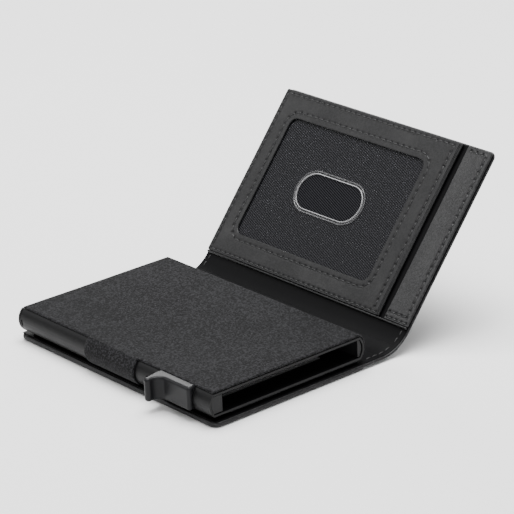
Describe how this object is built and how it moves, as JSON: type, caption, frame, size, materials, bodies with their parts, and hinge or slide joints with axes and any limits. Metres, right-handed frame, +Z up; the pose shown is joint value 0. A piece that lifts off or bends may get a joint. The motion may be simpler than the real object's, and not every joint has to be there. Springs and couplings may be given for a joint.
{
  "type": "pop-up card case wallet",
  "caption": "Metal pop-up card case with a side thumb slider, held in a leather cover of base, spine and flap with an ID window and a side pocket.",
  "frame": {"origin": "middle of the base's underside, below the card case", "axes": "+X along the case towards the card mouth, +Y towards the spine and flap, +Z up"},
  "size_m": [0.0996, 0.1284, 0.0571],
  "materials": {
    "shell_metal": "black satin anodised",
    "moulded_black": "fine moulded",
    "slider_black": "semi-gloss",
    "pin_steel": "turned",
    "felt": "pressed felt",
    "suede": "nubuck suede",
    "leather_black": "smooth grained, soft sheen",
    "lining_black": "smooth coated lining",
    "twill_black": "diagonal twill",
    "bonding_foam": "closed-cell foam tape",
    "clear_sheet": "clear soft sheet"
  },
  "bodies": {
    "base": {"case_shell": "shell_metal", "end_cap": "moulded_black", "front_rail": "moulded_black", "rear_rail": "moulded_black", "card_brake": "felt", "ejector_pivot": "pin_steel", "case_wrap": "suede", "mounting_pad": "bonding_foam", "base_lining": "lining_black", "base_cover": "leather_black", "pocket_panel": "leather_black"},
    "spine": {"spine_cover": "leather_black", "spine_lining": "lining_black"},
    "flap": {"flap_cover": "leather_black", "flap_lining": "lining_black", "id_backing": "twill_black", "id_window": "clear_sheet", "thumb_rim": "clear_sheet", "id_frame": "leather_black", "side_pocket": "leather_black", "seam_roll": "leather_black"},
    "slider": {"thumb_slider": "slider_black", "push_rod": "moulded_black", "link_pin": "pin_steel"},
    "ejector": {"ejector_lever": "moulded_black"}
  },
  "joints": [
    {"name": "spine_fold", "type": "hinge", "parent": "base", "child": "spine", "pos_m": [0, 0.038, 0.0021], "axis": [1, 0, 0], "range_deg": [-22.5, 64.5]},
    {"name": "flap_fold", "type": "hinge", "parent": "spine", "child": "flap", "pos_m": [0, 0.04884, 0.00726], "axis": [1, 0, 0], "range_deg": [-22.5, 64.5]},
    {"name": "slider_push", "type": "slide", "parent": "base", "child": "slider", "axis": [1, 0, 0], "range_m": [0, 0.008]},
    {"name": "ejector_swing", "type": "hinge", "parent": "base", "child": "ejector", "pos_m": [-0.04, -0.0225, 0.0066], "axis": [0, 0, -1], "range_deg": [0, 36.87]}
  ],
  "couplings": [
    {"joint": "flap_fold", "follows": "spine_fold", "ratio": 1},
    {"joint": "ejector_swing", "follows": "slider_push", "rad_per_m": 80.44}
  ]
}
